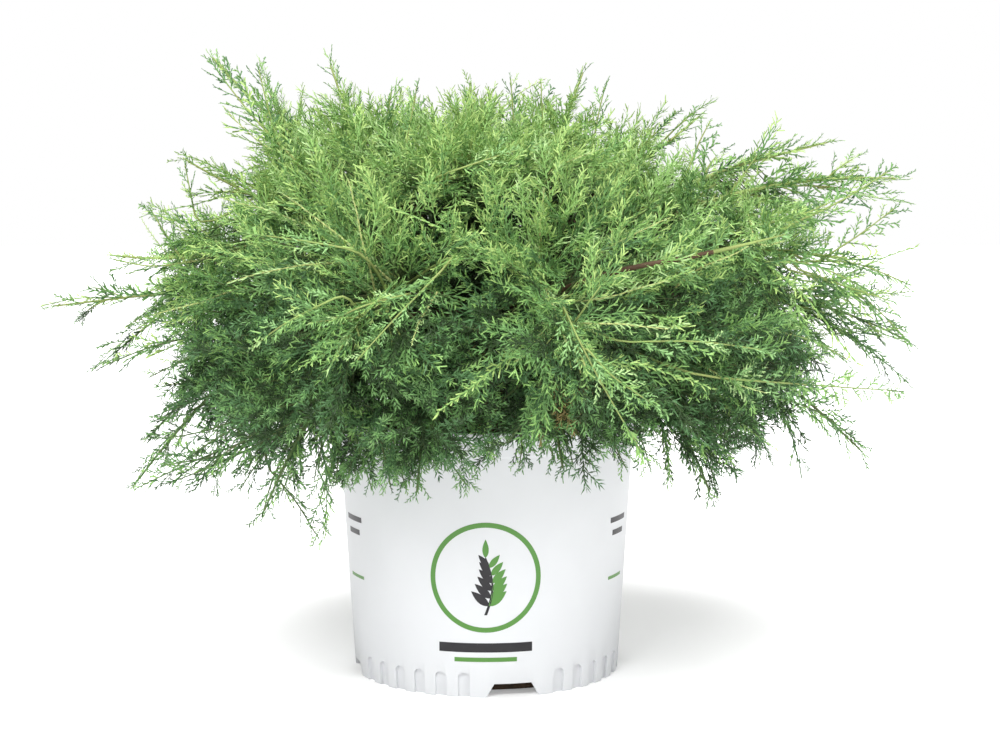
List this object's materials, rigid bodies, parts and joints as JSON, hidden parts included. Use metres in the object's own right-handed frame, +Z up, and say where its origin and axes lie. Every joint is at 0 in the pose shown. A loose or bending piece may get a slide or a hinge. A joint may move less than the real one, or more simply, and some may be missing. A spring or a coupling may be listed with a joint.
{
  "type": "potted juniper shrub",
  "caption": "Spreading juniper shrub with feathery sprays of scale leaves, in a round plastic nursery pot.",
  "frame": {"origin": "on the ground under the middle of the whole plant, which is the middle of the pot", "axes": "+Z up, -Y towards the viewer at the front, +X to the viewer's right along the widest spread"},
  "size_m": [0.8382, 0.7534, 0.577],
  "materials": {
    "pot": "satin moulded white plastic",
    "potting_mix": "damp shredded bark mix",
    "bark": "rough fibrous bark",
    "foliage": "matte scale leaves"
  },
  "bodies": {
    "root": {"bough_front_right": "bark", "bough_high_right": "bark", "bough_left": "bark", "bough_left_shoulder": "bark", "bough_low_back": "bark", "bough_low_back_left": "bark", "bough_low_back_right": "bark", "bough_low_front": "bark", "bough_low_front_left": "bark", "bough_low_left": "bark", "bough_low_left_front": "bark", "bough_low_right": "bark", "bough_low_right_front": "bark", "bough_mid_back_left": "bark", "bough_mid_back_right": "bark", "bough_mid_front_left": "bark", "bough_mid_front_right": "bark", "bough_mid_left": "bark", "bough_mid_right": "bark", "bough_right": "bark", "bough_right_shoulder": "bark", "bough_top_back": "bark", "bough_top_centre": "bark", "bough_top_front": "bark", "bough_top_left": "bark", "bough_top_middle": "bark", "bough_top_middle_left": "bark", "bough_top_right": "bark", "foliage_front_right": "foliage", "foliage_high_right": "foliage", "foliage_left": "foliage", "foliage_left_shoulder": "foliage", "foliage_low_back": "foliage", "foliage_low_back_left": "foliage", "foliage_low_back_right": "foliage", "foliage_low_front": "foliage", "foliage_low_front_left": "foliage", "foliage_low_left": "foliage", "foliage_low_left_front": "foliage", "foliage_low_right": "foliage", "foliage_low_right_front": "foliage", "foliage_mid_back_left": "foliage", "foliage_mid_back_right": "foliage", "foliage_mid_front_left": "foliage", "foliage_mid_front_right": "foliage", "foliage_mid_left": "foliage", "foliage_mid_right": "foliage", "foliage_right": "foliage", "foliage_right_shoulder": "foliage", "foliage_top_back": "foliage", "foliage_top_centre": "foliage", "foliage_top_front": "foliage", "foliage_top_left": "foliage", "foliage_top_middle": "foliage", "foliage_top_middle_left": "foliage", "foliage_top_right": "foliage", "pot": "pot", "potting_mix": "potting_mix", "trunk": "bark"}
  },
  "joints": []
}
